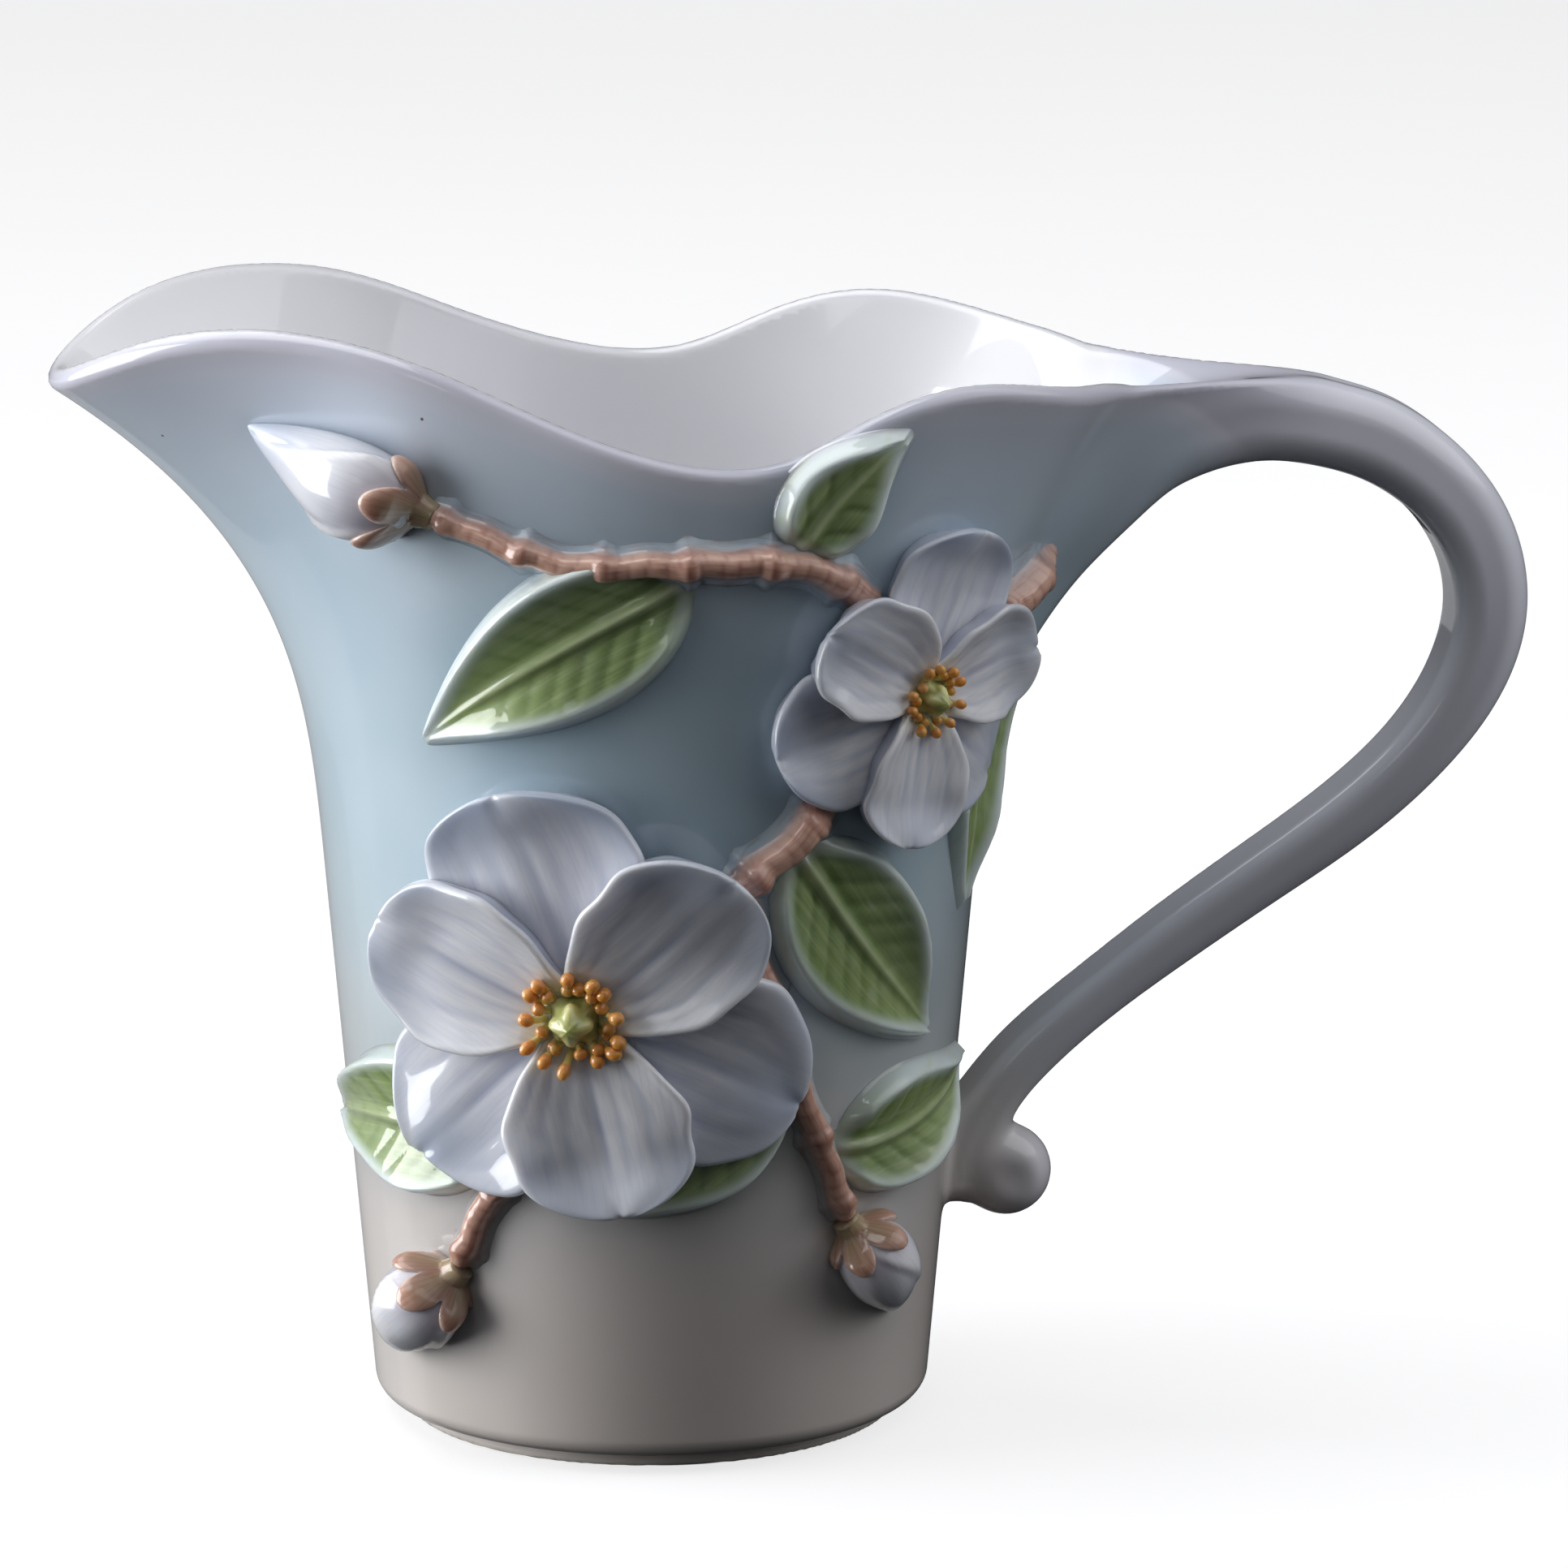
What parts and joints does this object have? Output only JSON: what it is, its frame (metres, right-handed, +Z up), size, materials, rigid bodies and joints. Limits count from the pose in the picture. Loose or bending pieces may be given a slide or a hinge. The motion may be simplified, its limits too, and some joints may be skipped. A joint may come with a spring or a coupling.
{
  "type": "milk jug",
  "caption": "Glazed porcelain milk jug with a waved mouth, long pouring lip and looped handle, sprigged with blossoms, buds, leaves and twigs in relief.",
  "frame": {"origin": "centre of the foot ring, on the plane it stands on", "axes": "+Z up, +X towards the handle, the pouring lip points along -X, and XZ is the mirror plane of the shell and handle"},
  "size_m": [0.1588, 0.0873, 0.1225],
  "materials": {
    "body_glaze": "glazed porcelain, sprayed pale blue shading to cream at the foot and lilac grey at the rim",
    "handle_glaze": "glazed porcelain, lilac grey",
    "petal_glaze": "glazed porcelain, white shaded with lilac blue",
    "leaf_glaze": "glazed porcelain, green with pale edges",
    "twig_glaze": "glazed porcelain, coral brown",
    "cone_glaze": "glazed porcelain, yellow green",
    "stamen_glaze": "glazed porcelain, orange yellow"
  },
  "bodies": {
    "root": {"jug_body": "body_glaze", "handle": "handle_glaze", "main_twig": "twig_glaze", "mid_twig": "twig_glaze", "left_twig": "twig_glaze", "rim_twig": "twig_glaze", "low_twig": "twig_glaze", "back_twig_1": "twig_glaze", "back_twig_2": "twig_glaze", "leaf_1": "leaf_glaze", "leaf_2": "leaf_glaze", "leaf_3": "leaf_glaze", "leaf_4": "leaf_glaze", "leaf_5": "leaf_glaze", "leaf_6": "leaf_glaze", "leaf_7": "leaf_glaze", "back_leaf_1": "leaf_glaze", "back_leaf_2": "leaf_glaze", "back_leaf_3": "leaf_glaze", "large_petal_1": "petal_glaze", "large_petal_2": "petal_glaze", "large_petal_3": "petal_glaze", "large_petal_4": "petal_glaze", "large_petal_5": "petal_glaze", "large_petal_6": "petal_glaze", "large_cone": "cone_glaze", "large_stamens": "stamen_glaze", "side_petal_1": "petal_glaze", "side_petal_2": "petal_glaze", "side_petal_3": "petal_glaze", "side_petal_4": "petal_glaze", "side_petal_5": "petal_glaze", "side_petal_6": "petal_glaze", "side_cone": "cone_glaze", "side_stamens": "stamen_glaze", "back_petal_1": "petal_glaze", "back_petal_2": "petal_glaze", "back_petal_3": "petal_glaze", "back_petal_4": "petal_glaze", "back_petal_5": "petal_glaze", "back_petal_6": "petal_glaze", "back_cone": "cone_glaze", "back_stamens": "stamen_glaze", "lip_bud": "petal_glaze", "lip_bud_calyx": "twig_glaze", "left_bud": "petal_glaze", "left_bud_calyx": "twig_glaze", "right_bud": "petal_glaze", "right_bud_calyx": "twig_glaze", "back_bud": "petal_glaze", "back_bud_calyx": "twig_glaze"}
  },
  "joints": []
}
